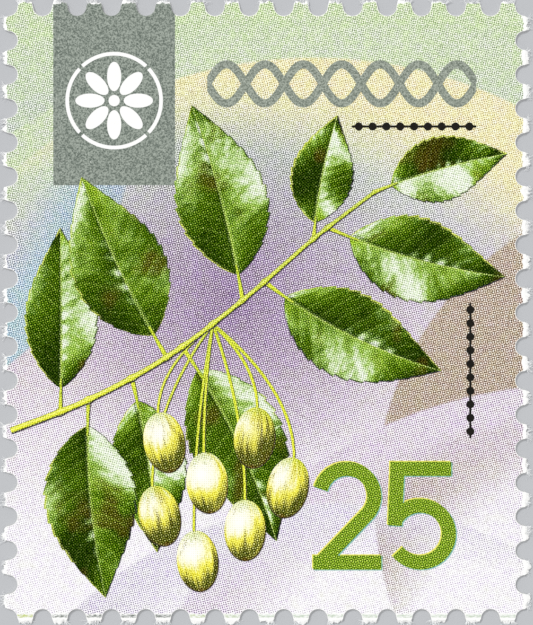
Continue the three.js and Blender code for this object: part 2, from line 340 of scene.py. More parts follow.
def silver_material(name, dark, light):
    """Metallic ink: grey, cloudy, with a fine speckle of flakes, and a few specks painted pale as
    glints.
    """
    made, shader = material(name, roughness=0.5, specular=0.4, metallic=0.15)
    place = position(shader)
    fine = noise_value(place, size=0.065, roughness=0.6)
    flakes = contrast(fine, gain=4.2, lift=-1.6)
    clouds = maths("MULTIPLY", noise_value(place, size=0.5, detail=3), 0.25)
    # Painted glints: a few specks lightened towards a pale grey in the colour, standing in for flakes
    # that catch the light.
    painted_glints = contrast(noise_value(place, size=0.09, detail=1), gain=12.0, lift=-8.6)
    painted_glints = maths("MULTIPLY", painted_glints, 0.7)
    colour = colour_mix(flakes, dark, light)
    colour = colour_mix(clouds, colour, (dark + light) * 0.62)
    coloured(shader, colour_mix(painted_glints, colour, linear(226, 230, 222)))
    bumped(shader, fine, depth=0.003)
    return made


def solid_ink_material(name, dark, light):
    """One ink laid on solid, slightly uneven where the paper's tooth shows through."""
    made, shader = material(name)
    grain = noise_value(position(shader), size=0.08, detail=3)
    coloured(shader, colour_mix(grain, dark, light))
    bumped(shader, grain, depth=0.002)
    return made


def green_material():
    """The numerals' green: lighter and yellower in places, printed in dots."""
    made, shader = material("numeral_green")
    clouds = noise_value(position(shader), size=0.6, detail=3)
    printed(shader, colour_mix(clouds, linear(112, 151, 8), linear(127, 161, 20)))
    return made


def next_row_material(name, left, right):
    """The next stamp's ink, half rubbed off by the tear, its colour changing from left to right."""
    made, shader = material(name)
    place = position(shader)
    across = contrast(node("SeparateXYZ", {0: place})[0], gain=1 / 8, lift=1.0)
    stretched = node("VectorMath", {0: place, 1: (0.35, 1, 1)}, operation="MULTIPLY")[0]
    rubbed = contrast(noise_value(stretched, size=0.05), gain=3.5, lift=-1.3)
    ink = colour_mix(across, left, right)
    coloured(shader, colour_mix(rubbed, ink, linear(246, 247, 245)))
    return made


def painted_material(name):
    """Ink whose colour is worked out point by point and kept with the mesh."""
    made, shader = material(name, roughness=0.7, specular=0.0)
    printed(shader, node("Attribute", {}, shader.id_data, attribute_name="tone")["Color"])
    return made


# The ground's colour at each height of the picture, from the bottom up.
GROUND = [
    (-13.0, (248, 243, 251)),
    (-9.0, (246, 240, 250)),
    (-6.0, (238, 226, 240)),
    (-2.0, (222, 206, 220)),
    (2.0, (208, 198, 212)),
    (6.5, (198, 210, 195)),
    (12.9, (202, 221, 176)),
]
# Each sweep: a disc that it fills, a second disc that it fades into, the width of the fade, a colour.
SWEEPS = [
    ((-19, 8.5, 13.5), (-21.5, 10, 12.5), 1.8, (174, 200, 212)),
    ((4, -14, 26.2), (5.5, -18, 26.5), 2.4, (204, 220, 184)),
    ((2, -8.5, 19.3), (-3.0, -12.6, 19.6), 3.0, (240, 228, 180)),
    ((18, -8, 13.5), (19, -18.5, 14.0), 3.0, (190, 170, 152)),
    ((13, -22.5, 19.5), (15.5, -25.5, 19.5), 2.4, (228, 212, 232)),
    ((3, -24, 16.0), (6, -27.5, 17.0), 2.4, (230, 222, 243)),
]
SWEEP_EDGE = 0.12
# The soft purple behind the twig: its disc, the width of its fade, its colour.
HAZE = ((-1.5, 0.5, 8.4), 8.4, (160, 136, 172))
CLOUDS = (0.05, -0.07, 0.3)  # how the tints' cloudiness moves red, green and blue, at one lightness


def inside(place, disc, fade):
    """1 inside a disc and 0 outside it, changing over fade millimetres inwards from its rim."""
    x, y, radius = disc
    away = node("VectorMath", {0: place, 1: (x, y, FACE)}, operation="DISTANCE")["Value"]
    return maths("DIVIDE", maths("SUBTRACT", radius, away), fade, clamp=True)


def ground_material():
    """The picture's ground: tints that change with height, crossed by soft sweeps of colour."""
    made, shader = material("ground_tints")
    place = position(shader)
    low, high = GROUND[0][0], GROUND[-1][0]
    up = node("SeparateXYZ", {0: place})[1]
    share = maths("MULTIPLY_ADD", up, 1 / (high - low), -low / (high - low))
    colour = node("ValToRGB", {0: share})[0]
    stops = colour.node.color_ramp.elements
    stops.remove(stops[1])
    for number, (height, tint) in enumerate(GROUND):
        at = (height - low) / (high - low)
        stop = stops.new(at) if number else stops[0]
        stop.position = at
        stop.color = (*linear(*tint), 1)
    for disc, (x, y, radius), fade, tint in SWEEPS:
        rim = inside(place, disc, SWEEP_EDGE)
        out = maths("SUBTRACT", 1.0, inside(place, (x, y, radius + fade), fade))
        colour = colour_mix(maths("MULTIPLY", rim, out), colour, linear(*tint))
    disc, fade, tint = HAZE
    colour = colour_mix(inside(place, disc, fade), colour, linear(*tint))
    # The tints are faintly cloudy, in colour and not in light and dark.
    cloud = noise_value(place, size=0.35, detail=0)
    feeds = {0: cloud, 1: CLOUDS, 2: [1 - amount / 2 for amount in CLOUDS]}
    faint = node("VectorMath", feeds, operation="MULTIPLY_ADD")[0]
    printed(shader, colour_mix(1.0, colour, faint, "MULTIPLY"))
    return made


# ---- Meshes ----


def placed(name, data):
    """A new object in the scene."""
    made = bpy.data.objects.new(name, data)
    bpy.context.scene.collection.objects.link(made)
    return made


def piece(name, points, faces, look, slot, replaced=(), tones=None):
    """A piece of the stamp, from points in millimetres and faces that close it."""
    mesh = bpy.data.meshes.new(name)
    mesh.from_pydata((np.asarray(points, float) * MM).tolist(), [], [tuple(map(int, f)) for f in faces])
    mesh.materials.append(look)
    if tones is not None:
        layer = mesh.color_attributes.new("tone", "FLOAT_COLOR", "POINT")
        layer.data.foreach_set("color", np.c_[tones, np.ones(len(tones))].astype(np.float32).ravel())
    made = placed(name, mesh)
    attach(made, "root")
    if replaced:
        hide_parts(*replaced)


def cap(loops):
    """Triangles that fill the first loop but for the others, all facing up."""
    flat = np.vstack(loops)
    outlines = [[Vector((x, y, 0)) for x, y in loop] for loop in loops]
    corners = np.array(geometry.tessellate_polygon(outlines))
    a, b, c = (flat[corners[:, i]] for i in range(3))
    turn = (left_of(b - a) * (c - a)).sum(axis=1)
    corners[turn < 0] = corners[turn < 0][:, ::-1]
    return corners


def slab(floors):
    """Points and faces of a closed solid. floors lists heights and the loops there, from the bottom
    up. A floor's first loop is its outline, anticlockwise, and the others are holes, clockwise."""
    count = sum(len(loop) for loop in floors[0][1])
    points = [(x, y, z) for z, loops in floors for loop in loops for x, y in loop]
    faces = []
    for floor in range(len(floors) - 1):
        start = floor * count
        for loop in floors[0][1]:
            for i in range(len(loop)):
                a, b = start + i, start + (i + 1) % len(loop)
                faces.append((a, b, b + count, a + count))
            start += len(loop)
    faces.extend(cap(floors[0][1])[:, ::-1])
    faces.extend(cap(floors[-1][1]) + count * (len(floors) - 1))
    return points, faces


def film(loops, bottom, thickness=INK):
    return slab([(bottom, loops), (bottom + thickness, loops)])


def between(x, low, high):
    """An outline, anticlockwise, between a low edge and a high one."""
    return np.vstack([np.c_[x, low], np.c_[x, high][::-1]])


def joined(parts):
    """Several point and face lists as one."""
    points, faces, start = [], [], 0
    for some, around in parts:
        points.extend(some)
        faces.extend(tuple(i + start for i in face) for face in around)
        start += len(some)
    return points, faces


# ---- The perforated edge ----

ARC_STEPS = 24
TIP_STEPS = 26
SHOULDER = 1 / 12  # the share of its width over which a torn end rises from the row of holes
SETTLING = 1 / 5  # the share over which its wander sets in
WANDER = ((1.5, 1.3), (5.0, 0.9), (14.0, 0.6))  # turns and strength of each part of the wander
# The sheet's torn ends at shares of its thickness: how rough, a seed, how far drawn in.
TORN_FLOORS = ((0, 0.08, 1, 0.05), (0.3, 0.12, 2, 0), (0.65, 0.12, 2.3, 0.03), (1, 0.07, 4, 0.1))


def edge(side):
    """A side of the row of holes: start, course, direction, way inwards and number of spaces."""
    corner = CORNERS[side]
    course = CORNERS[(side + 1) % 4] - corner
    run = unit(course)
    return corner, course, run, left_of(run), SPACES["down" if side % 2 else "across"]


def torn(side, tooth, t, seed):
    """How far a tooth's end wanders at t of its way, from about -1 to 1."""
    wander = 0
    for octave, (turns, strength) in enumerate(WANDER):
        place = (tooth * 3.7 + t * turns, side * 11.3 + 3 * octave, seed)
        wander += strength * noise.noise(Vector(place))
    return wander


def perforated_outline(past, rough, seed, drawn_in=0.0, radius=HOLE_RADIUS):
    """The stamp's edge, anticlockwise. Tooth ends stand past[side], less what they are drawn in, out
    from the row of hole centres and wander rough from there. The hole walls inside it are clean."""
    points = []
    past = {name: reach - drawn_in for name, reach in past.items()}
    starts = [math.asin(max(-past[name], 0) / radius) for name in SIDES]
    for side, name in enumerate(SIDES):
        corner, course, run, inward, spaces = edge(side)
        start, next_start = starts[side], starts[(side + 1) % 4]
        reach = math.cos(start) * radius
        for k in range(spaces):
            first = corner + course * k / spaces + run * reach
            next_hole = corner + course * (k + 1) / spaces
            last = next_hole - run * reach
            for t in np.arange(1, TIP_STEPS) / TIP_STEPS:
                near = min(t, 1 - t)
                off = rough * torn(side, k, t, seed) * min(1, near / SETTLING)
                out = past[name] * (min(1, near / SHOULDER) if past[name] > 0 else 1)
                points.append(first + (last - first) * t + inward * (off - out))
            end = math.pi - start if k + 1 < spaces else math.pi / 2 - next_start
            for a in np.linspace(start, end, ARC_STEPS + 1):
                back, deep = radius * heading(a)
                points.append(next_hole - run * back + inward * deep)
    return np.array(points)


def top_run(outline):
    """The stretch of the top edge over the block, right to left: where it starts and ends in the
    outline, and its points."""
    left, right, bottom = BLOCK.values()
    across = [i for i, (x, y) in enumerate(outline) if left < x < right and y > bottom]
    first, last = across[0], across[-1]

    def crossing(a, b, x):
        return a + (b - a) * (x - a[0]) / (b[0] - a[0])

    enter = crossing(outline[first - 1], outline[first], right)
    leave = crossing(outline[last], outline[last + 1], left)
    return first, last, np.vstack([enter, outline[first : last + 1], leave])


def paper_sheet():
    """The sheet: clean hole walls, and tooth ends that are torn furthest out at mid height."""
    floors = [(GUM + up * PAPER, [perforated_outline(PAPER_PAST, *ends)]) for up, *ends in TORN_FLOORS]
    piece("paper_with_torn_teeth", *slab(floors), paper_look, "paper", ["paper_sheet"])


def gum_film():
    outline = perforated_outline(PAPER_PAST, rough=0.04, seed=1.2, drawn_in=0.07)
    piece("gum_layer", *film([outline], 0, GUM), gum_look, "gum", ["gum_film"])


FIBRE_SEED = 7
TUFTS = 5  # on each tooth
TUFT_FIBRES = 7
FIBRE_STEPS = 5
FIBRE_TAPER = 0.6


def strand(path, radius):
    """A thin four-sided thread along a path, closed at both ends."""
    points, faces = [], []
    steps = len(path) - 1
    for i, here in enumerate(path):
        ahead = path[min(i + 1, steps)] - path[max(i - 1, 0)]
        side = unit(np.cross(ahead, (0, 0, 1)))
        up = np.cross(side, unit(ahead))
        thick = radius * (1 - FIBRE_TAPER * i / steps)
        points.extend(here + thick * offset for offset in (side, up, -side, -up))
    for i in range(steps):
        for j in range(4):
            a, b = 4 * i + j, 4 * i + (j + 1) % 4
            faces.append((b, a, a + 4, b + 4))
    faces.append((0, 1, 2, 3))
    faces.append(tuple(4 * steps + i for i in (3, 2, 1, 0)))
    return points, faces


def fibre(draw, root, back, lean, length, run, outward):
    """A loose fibre that starts a little way back in the paper and curls out of it."""
    height = GUM + PAPER * draw.uniform(0.15, 0.8)
    angle = lean + draw.normal(0, 0.25)
    reach = back + length * draw.uniform(0.5, 1.1)
    curl = draw.normal(0, 0.9)
    rise = draw.normal(0, 0.1)
    radius = draw.uniform(0.005, 0.013)
    path = [np.array((*root, height))]
    for step in range(FIBRE_STEPS):
        a = angle + curl * step / FIBRE_STEPS
        way = outward * math.cos(a) + run * math.sin(a)
        path.append(path[-1] + np.array((*way, rise)) * reach / FIBRE_STEPS)
        path[-1][2] = np.clip(path[-1][2], radius, TOP - radius)
    return strand(np.array(path), radius)


def torn_fibres():
    """Tufts of loose paper fibres that stand out of the torn tooth ends."""
    draw = np.random.default_rng(FIBRE_SEED)
    strands = []
    for side, name in enumerate(SIDES):
        corner, course, run, inward, spaces = edge(side)
        for tuft in range(spaces * TUFTS):
            place = draw.uniform(0.29, 0.71)
            lean = draw.normal(0, 0.5)
            length = draw.uniform(0.1, 0.26)
            for _ in range(TUFT_FIBRES):
                t = np.clip(place + draw.normal(0, 0.025), 0.28, 0.72)
                back = draw.uniform(0.02, 0.12)
                root = corner + course * (tuft // TUFTS + t) / spaces
                root = root - inward * (PAPER_PAST[name] - back)
                strands.append(fibre(draw, root, back, lean, length, run, -inward))
    piece("torn_fibres", *joined(strands), fibre_look, "paper")


# ---- Ground and block ----

CLEARANCE = 0.02  # how much further the ground stays from the holes' middles than the block
PETAL_STEPS = 48
RING_STEPS = 40  # in each quarter
# The next stamp's print on the bottom teeth. Its lower and upper edge: how far above the row of
# holes each lies, how far it wanders, and a seed. It stays a margin clear of the holes.
NEXT_ROW = ((0.04, 0.04, 2), (0.17, 0.03, 9))
NEXT_ROW_MARGIN = 0.03
NEXT_ROW_STEPS = 16


def printed_outline(radius=HOLE_RADIUS):
    return perforated_outline(PRINT_PAST, rough=0.07, seed=4, radius=radius)


def ground_print():
    outline = printed_outline(HOLE_RADIUS + CLEARANCE)
    first, last, run = top_run(outline)
    notch = [run[0], (BLOCK["right"], BLOCK["bottom"]), (BLOCK["left"], BLOCK["bottom"]), run[-1]]
    loop = np.vstack([outline[:first], notch, outline[last + 1 :]])
    sweeps = ["sweep_" + name for name in ("blue", "mint", "cream", "peach", "rose", "lilac")]
    piece("ground_print", *film([loop], level(0)), ground_look, "tint_ink", ["ground_tint", *sweeps])


def ellipse(middle, half_length, half_width, turn=0.0):
    a = np.linspace(0, 2 * math.pi, PETAL_STEPS, endpoint=False)
    return middle + turned(half_length * np.cos(a), half_width * np.sin(a), turn)


def rosette_holes():
    """What the block leaves bare: a hub, petals round it, and a ring broken in four places."""
    drop, hub, petals, petal, reach, (inner, outer), bridge = ROSETTE.values()
    middle = np.array((BLOCK["left"] + BLOCK["right"], BLOCK["bottom"] + HEIGHT / 2)) / 2 - (0, drop)
    holes = [ellipse(middle, hub, hub)]
    for turn in np.arange(petals) * 2 * math.pi / petals:
        holes.append(ellipse(middle + reach * heading(turn), *petal, turn))
    gap = bridge / outer
    for quarter in range(4):
        a = np.linspace(quarter - 0.5, quarter + 0.5, RING_STEPS) * math.pi / 2
        a[0] += gap
        a[-1] -= gap
        around = np.c_[np.cos(a), np.sin(a)]
        holes.append(middle + np.vstack([inner * around[::-1], outer * around]))
    return [hole[::-1] for hole in holes]


def block_print():
    run = top_run(printed_outline())[2]
    loop = np.vstack([(BLOCK["left"], BLOCK["bottom"]), (BLOCK["right"], BLOCK["bottom"]), run])
    block = film([loop, *rosette_holes()], level(0))
    piece("block_print", *block, silver_look, "silver_ink", ["corner_block"])


def next_row_print():
    """Slivers of the next stamp's print across the bottom teeth."""
    silver, tint = [], []
    across = np.linspace(-1, 1, NEXT_ROW_STEPS + 1)
    for k in range(SPACES["across"]):
        middle = CORNERS[0][0] + (k + 0.5) * PITCH["across"]
        edges = []
        for up, wander, seed in NEXT_ROW:
            half = PITCH["across"] / 2 - math.sqrt(HOLE_RADIUS**2 - up**2) - NEXT_ROW_MARGIN
            waves = np.array([noise.noise(Vector((6 * a + 5 * k, seed, 1))) for a in across])
            edges.append(np.c_[middle + half * across, CORNERS[0][1] + up + wander * waves])
        part = film([np.vstack([edges[0], edges[1][::-1]])], level(0))
        (silver if BLOCK["left"] < middle < BLOCK["right"] else tint).append(part)
    piece("next_row_silver", *joined(silver), next_silver_look, "silver_ink")
    piece("next_row_tint", *joined(tint), next_tint_look, "tint_ink")


# ---- Chain, rules and numerals ----

LINK_STEPS = 40
BEAD_STEPS = 24
SMALLEST_GAP = 0.01  # a link's hole ends where its half width falls below this
# The plates under the numerals: how far to the right and up each lies, and its tint.
REGISTER = {
    "yellow": (-0.05, 0.045, linear(240, 236, 110)),
    "cyan": (0.045, -0.035, linear(140, 196, 186)),
}


def chain_print():
    """Two waves that cross, as one outline with a lens-shaped hole in each link."""
    left, right, middle, reach, links, width = CHAIN.values()
    x = np.linspace(left, right, LINK_STEPS * links + 1)
    pace = links * math.pi / (right - left)
    phase = (x - left) * pace
    half = width / 2 * np.sqrt(1 + (pace * reach * np.cos(phase)) ** 2)
    swing = reach * np.abs(np.sin(phase))
    outer, inner = swing + half, swing - half
    loops = [between(x, middle - outer, middle + outer)]
    for start in range(0, LINK_STEPS * links, LINK_STEPS):
        hole = [i for i in range(start, start + LINK_STEPS + 1) if inner[i] > SMALLEST_GAP]
        loops.append(between(x[hole], middle - inner[hole], middle + inner[hole])[::-1])
    piece("chain_print", *film(loops, level(2)), pale_silver_look, "silver_ink", ["silver_chain"])


def rule_print(name, start, end, beads):
    """A thin rule with beads strung on it at even distances."""
    start, end = np.array(start), np.array(end)
    length = np.linalg.norm(end - start)
    run = unit(end - start)
    way = np.linspace(0, length, BEAD_STEPS * beads + 1)
    off = (way / length * beads) % 1 - 0.5
    bead = np.sqrt(np.maximum(RULE["bead"] ** 2 - (off * length / beads) ** 2, 0))
    side = np.maximum(RULE["width"] / 2, bead)[:, None] * left_of(run)
    middle = start + way[:, None] * run
    loop = np.vstack([middle - side, (middle + side)[::-1]])
    piece(name + "_print", *film([loop], level(2)), black_look, "black_ink", [name])


def numerals():
    """The two green digits, with the yellow and cyan plates a little out of register beneath them."""
    for name in ("numeral_2", "numeral_5"):
        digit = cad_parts[name]
        digit.material_slots[0].material = green_look
        for number, (ink, (across, up, tint)) in enumerate(REGISTER.items()):
            mesh = digit.data.copy()
            mesh.materials.clear()
            mesh.materials.append(solid_ink_material(f"{name}_{ink}", tint * 0.9, tint))
            points = np.empty(3 * len(mesh.vertices))
            mesh.vertices.foreach_get("co", points)
            points = points.reshape(-1, 3) + np.array((across, up, 0)) * MM
            low, high = (level(1) + INK / 2 * (number + i) for i in (0, 1))
            points[:, 2] = np.where(points[:, 2] > (level(2) + INK / 2) * MM, high, low) * MM
            mesh.vertices.foreach_set("co", points.ravel())
            plate = placed(f"{name}_{ink}_plate", mesh)
            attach(plate, "root")


# ---- The twig, its leaves and its fruits ----

TWIG_POINTS = [(-10.78, -5.0), (-7.5, -3.7), (-4.2, -1.9), (-1.0, 0.5), (2.0, 3.1), (4.6, 5.1)]
TWIG_WIDTHS = (0.3, 0.17)
STEM_STEPS = {"twig": 160, "leaf": 16, "fruit": 40, "across": 13}  # points along each, and across
KNOT = (0.1, 0.008)  # how much wider the twig is at a knot, and over what share of its length
LEAF_STALK = (0.21, 0.1)  # width at its start and at its end
FRUIT_STALK = (0.14, 0.13)
FRUIT_NODE = 0.52  # where on the twig the fruit stalks start
LIGHT = np.array((-0.42, 0.58, 0.70))  # the way to the painted light

# at: place on the twig; angle in degrees; bend: sideways drift of the tip; number: pass of ink.
Leaf = namedtuple("Leaf", "at angle length width bend number")
LEAVES = [
    Leaf(0.135, 89, 7.8, 3.0, 0.02, 2),
    Leaf(0.2, -93, 8.3, 3.8, 0.14, 3),
    Leaf(0.31, -76, 7.4, 3.1, -0.1, 2),
    Leaf(0.4, 121, 8.4, 3.9, -0.1, 3),
    Leaf(0.44, -55, 9.0, 3.9, -0.16, 3),
    Leaf(0.6, 99, 8.5, 3.8, 0.1, 2),
    Leaf(0.66, -38, 8.2, 3.6, 0.2, 2),
    Leaf(0.8, 86, 5.3, 2.6, -0.12, 3),
    Leaf(0.84, -24, 7.7, 3.5, 0.15, 3),
    Leaf(0.995, 23, 5.8, 2.7, -0.12, 2),
]
STALK_SHARE = 0.13  # of a leaf's length
TEETH = 13
TOOTH_DEPTH = 0.07
VEINS = 11
LEAF_SEED = 300
LEAF_ROWS = 15 * TEETH
LEAF_COLUMNS = 76

# x and y: middle; lean in degrees from hanging straight down; number: pass of ink; ripe: how khaki.
Fruit = namedtuple("Fruit", "x y lean number ripe")
FRUITS = [
    Fruit(-4.3, -5.5, 12, 5, 0.3),
    Fruit(-2.5, -7.2, 6, 6, 0.0),
    Fruit(-0.5, -5.3, -5, 5, 0.9),
    Fruit(-4.5, -8.6, 14, 5, 0.7),
    Fruit(-0.9, -9.2, 0, 5, 0.2),
    Fruit(0.9, -7.4, -12, 6, 0.5),
    Fruit(-2.9, -10.5, 7, 6, 0.1),
]
FRUIT = {"half_width": 0.88, "half_length": 1.3}
FRUIT_SEED = 700
FRUIT_RINGS = 26
FRUIT_SPOKES = 72

# Colours of the plant, as linear light.
DEEP = linear(22, 47, 0)
GREEN = linear(84, 125, 0)
FRESH = linear(158, 197, 28)
RIM = linear(214, 226, 84)
RIB = linear(176, 204, 78)
GLOW = linear(158, 199, 80)
SHEEN = linear(232, 244, 218)
BROWN = linear(94, 72, 6)
SHADOW = linear(48, 34, 58)
CREAM = linear(255, 252, 222)
WHITE = linear(255, 255, 250)
YELLOW = linear(244, 234, 72)
OLIVE = linear(94, 100, 16)
STEM_LIGHT = linear(246, 250, 60)
STEM_DARK = linear(126, 140, 14)
STEM_GREEN = (0.4, 0.58, 0.4)  # how much of a yellow stalk's red, green and blue a green one keeps


def twig_at(t):
    """A point of the twig: a smooth curve through its points, t from 0 to 1."""
    p = np.array(TWIG_POINTS)
    way = np.clip(t, 0, 1) * (len(p) - 1)
    i = min(int(way), len(p) - 2)
    f = way - i
    before, after = p[max(i - 1, 0)], p[min(i + 2, len(p) - 1)]
    v0, v1 = (p[i + 1] - before) / 2, (after - p[i]) / 2
    a = 2 * p[i] - 2 * p[i + 1] + v0 + v1
    b = -3 * p[i] + 3 * p[i + 1] - 2 * v0 - v1
    return ((a * f + b) * f + v0) * f + p[i]


def midrib(leaf, t):
    """Points of a leaf's midrib, for an array of shares of its length."""
    out = heading(math.radians(leaf.angle))
    t = t[..., None]
    return twig_at(leaf.at) + leaf.length * (out * t + left_of(out) * leaf.bend * t * t)


MOTTLE_CELLS = 64
MOTTLE_START = 200  # where in the repeating noise the stamp's middle lies


def mottle(x, y, size, seed, octaves=1):
    """Smooth, repeatable noise from about -1 to 1, with lumps of about size millimetres."""
    table = np.random.default_rng(seed).uniform(-1, 1, (MOTTLE_CELLS, MOTTLE_CELLS))
    total = 0
    for octave in range(octaves):
        u, v = (way / size * 2**octave + MOTTLE_START for way in (x, y))
        i, j = np.floor(u).astype(int), np.floor(v).astype(int)
        f, g = smooth(u - i, 0, 1), smooth(v - j, 0, 1)
        i, j, k, l = (n % MOTTLE_CELLS for n in (i, j, i + 1, j + 1))
        near = table[i, j] * (1 - f) + table[k, j] * f
        far = table[i, l] * (1 - f) + table[k, l] * f
        total = total + (near * (1 - g) + far * g) / 2**octave
    return total


def lit(slopes):
    """Diffuse light and gloss on a painted relief whose slopes in x and y are given."""
    normal = unit(np.concatenate([-slopes, np.ones(slopes.shape[:-1] + (1,))], axis=-1))
    light = unit(LIGHT)
    halfway = unit(light + (0, 0, 1))
    return np.clip(normal @ light, 0, 1), np.clip(normal @ halfway, 0, 1)


def leaf_tones(leaf, seed, s, v, xy, along, across, half):
    """A painted leaf's colours at places xy: s is how far along it they lie, v how far across, from
    -1 to 1. It has two halves that rise from the midrib, waves, veins and gloss."""
    draw = np.random.default_rng(seed)
    fold, curl = draw.uniform(0.3, 0.5), draw.uniform(0.02, 0.07)
    turns, roll = draw.uniform(1.0, 1.7), draw.uniform(0, 6.3, 2)
    x, y = xy[..., 0], xy[..., 1]
    a, side = np.abs(v), np.sign(v)
    broad = mottle(x, y, 1.7, seed)
    blotch = mottle(x, y, 0.6, seed + 1, 3)
    fine = mottle(x, y, 0.15, seed + 2, 2)
    phase = VEINS * (s - 0.16 * a**1.3) + 0.5 * (side > 0) + 0.08 * blotch
    gap = np.abs(phase - np.round(phase))
    # The relief, in millimetres: it decides where the light falls.
    length = leaf.length * (1 - STALK_SHARE)
    wave = np.where(side > 0, roll[0], roll[1])
    relief = fold * half * a * (1 - 0.35 * a) - curl * length * (s - 0.4) ** 2
    relief = relief + 0.2 * a * np.sin(2 * math.pi * turns * s + wave) + 0.1 * broad * a
    relief = relief - 0.006 * bell(gap, 0.3) + 0.008 * blotch + 0.002 * fine
    rise_along = np.gradient(relief, axis=0) / (length / LEAF_ROWS)
    rise_across = np.gradient(relief, axis=1) / (np.maximum(half, 0.08) * 2 / LEAF_COLUMNS)
    diffuse, gloss = lit(rise_along[..., None] * along + rise_across[..., None] * across)
    # From deep to fresh green with the light, with brown patches and pale veins.
    tone = mixed(DEEP, GREEN, smooth(diffuse + 0.05 * blotch + 0.05 * broad, 0.36, 0.84))
    tone = mixed(tone, BROWN, 0.55 * smooth(mottle(x, y, 1.1, seed + 3, 2), 0.3, 1.0))
    tone = mixed(tone, FRESH, 0.9 * smooth(diffuse + 0.06 * blotch + 0.05 * broad, 0.66, 0.98))
    vein = bell(gap, 0.06) * smooth(a, 1.0, 0.75)
    tone = mixed(tone, FRESH, vein * (0.1 + 0.3 * smooth(diffuse, 0.4, 0.9)))
    tone = tone * (1 + (0.06 + 0.1 * smooth(diffuse, 0.7, 0.3)) * fine)[..., None]
    # The gloss is broad and specked, and flashes along one side of the midrib between the veins.
    flash_side, flash_at = draw.choice((-1, 1)), draw.uniform(0.3, 0.8)
    flash = bell(a, 0.2) * (0.6 + 0.4 * np.cos(2 * math.pi * phase))
    flash = flash * (side == flash_side) * bell(s - flash_at, 0.22)
    shine = gloss**13 + 0.2 * broad + 0.09 * blotch + 0.06 * fine + 0.8 * flash
    tone = mixed(tone, GLOW, 0.85 * smooth(shine, 0.25, 0.72) * smooth(a, 1.0, 0.95))
    tone = mixed(tone, SHEEN, 0.95 * smooth(shine, 0.48, 0.94) * smooth(a, 1.0, 0.92))
    # The midrib is pale with a dark line at its shaded side. The edge is pale or dark likewise.
    inner = a * half
    line = 0.05 * (1.2 - 0.8 * s)
    tone = mixed(tone, RIB, (0.6 + 0.25 * broad) * bell(inner, line))
    facing = (across @ LIGHT[:2]) * side
    tone = mixed(tone, DEEP, 0.5 * bell(inner - 2.2 * line, line) * (facing > 0))
    edge_in = half - inner
    lip = smooth(edge_in, 0.09 + 0.05 * broad, 0.02) * smooth(facing + 0.5 * blotch, -0.2, 0.6)
    tone = mixed(tone, RIM, 0.8 * lip)
    return mixed(tone, SHADOW, 0.85 * smooth(edge_in, 0.075, 0.02) * smooth(-facing, -0.05, 0.35))


def ribbon_slab(xy, low, high):
    """Points and faces of a flat strip: a grid of rows on top, and a plain underside that only has
    the strip's two edges. Rows run along the strip, columns from its right edge to its left."""
    rows, columns = xy.shape[:2]
    top = np.c_[xy.reshape(-1, 2), np.full(rows * columns, high)]
    under = np.vstack([xy[:, 0], xy[:, -1]])
    points = np.vstack([top, np.c_[under, np.full(2 * rows, low)]])
    index = np.arange(rows * columns).reshape(rows, columns)
    a, b, c, d = index[:-1, :-1], index[1:, :-1], index[1:, 1:], index[:-1, 1:]
    faces = np.stack([a, b, c, d], axis=-1).reshape(-1, 4).tolist()
    right = rows * columns + np.arange(rows)
    left = right + rows
    for i in range(rows - 1):
        faces.append((right[i], left[i], left[i + 1], right[i + 1]))
        faces.append((right[i], right[i + 1], index[i + 1, 0], index[i, 0]))
        faces.append((left[i + 1], left[i], index[i, -1], index[i + 1, -1]))
    faces.append((left[0], right[0], *index[0]))
    faces.append((right[-1], left[-1], *index[-1][::-1]))
    return points, faces


def ribbon_tones(tone):
    """The colours of a ribbon slab's points: the top's, then its two edges' again for the underside."""
    return np.vstack([tone.reshape(-1, 3), tone[:, 0], tone[:, -1]])


def leaf_print(leaf, number):
    s = np.linspace(0.004, 0.996, LEAF_ROWS + 1)[:, None]
    v = np.linspace(-1, 1, LEAF_COLUMNS + 1)[None, :]
    t = STALK_SHARE + (1 - STALK_SHARE) * s[:, 0]
    middle = midrib(leaf, t)
    along = unit(midrib(leaf, t + 0.01) - middle)[:, None]
    across = left_of(along)
    swell = np.sin(math.pi * s**0.82) ** 0.9 * (1 - 0.25 * s**4)
    even_half = leaf.width / 2 * swell
    half = even_half * (1 + TOOTH_DEPTH * ((s * TEETH) % 1))
    xy = middle[:, None] + across * (half * v)[..., None]
    tones = ribbon_tones(leaf_tones(leaf, LEAF_SEED + number, s, v, xy, along, across, even_half))
    parts = ribbon_slab(xy, level(leaf.number), level(leaf.number) + INK)
    piece(f"leaf_{number}_print", *parts, leaf_look, "leaf_ink", [f"leaf_{number}"], tones)


def stem(line, widths, low, thickness, green):
    """A stalk as a ribbon with its tones: light along its upper side, dark along its lower one.
    green says how green it is at its start and at its end."""
    side = left_of(unit(np.gradient(line, axis=0)))[:, None]
    v = np.linspace(-1, 1, STEM_STEPS["across"])
    xy = line[:, None] + side * (widths[:, None] / 2 * v)[..., None]
    diffuse, gloss = lit(-(v / np.sqrt(1.15 - v**2))[:, None] * side)
    speck = mottle(xy[..., 0], xy[..., 1], 0.25, 11, 2)
    tone = mixed(STEM_DARK, STEM_LIGHT, smooth(diffuse + 0.06 * speck, 0.1, 0.7))
    tone = mixed(tone, CREAM, 0.3 * gloss**30)
    tone = mixed(tone, BROWN, 0.3 * smooth(speck, 0.5, 1.3))
    tone = mixed(tone, tone * STEM_GREEN, np.linspace(*green, len(line))[:, None])
    facing = np.clip(2.5 * side @ LIGHT[:2], -1, 1) * v
    tone = mixed(tone, STEM_DARK, 0.7 * smooth(facing, 0.65, 0.95))
    tone = mixed(tone, SHADOW, smooth(-facing, 0.45, 0.8))
    return *ribbon_slab(xy, low, low + thickness), ribbon_tones(tone)


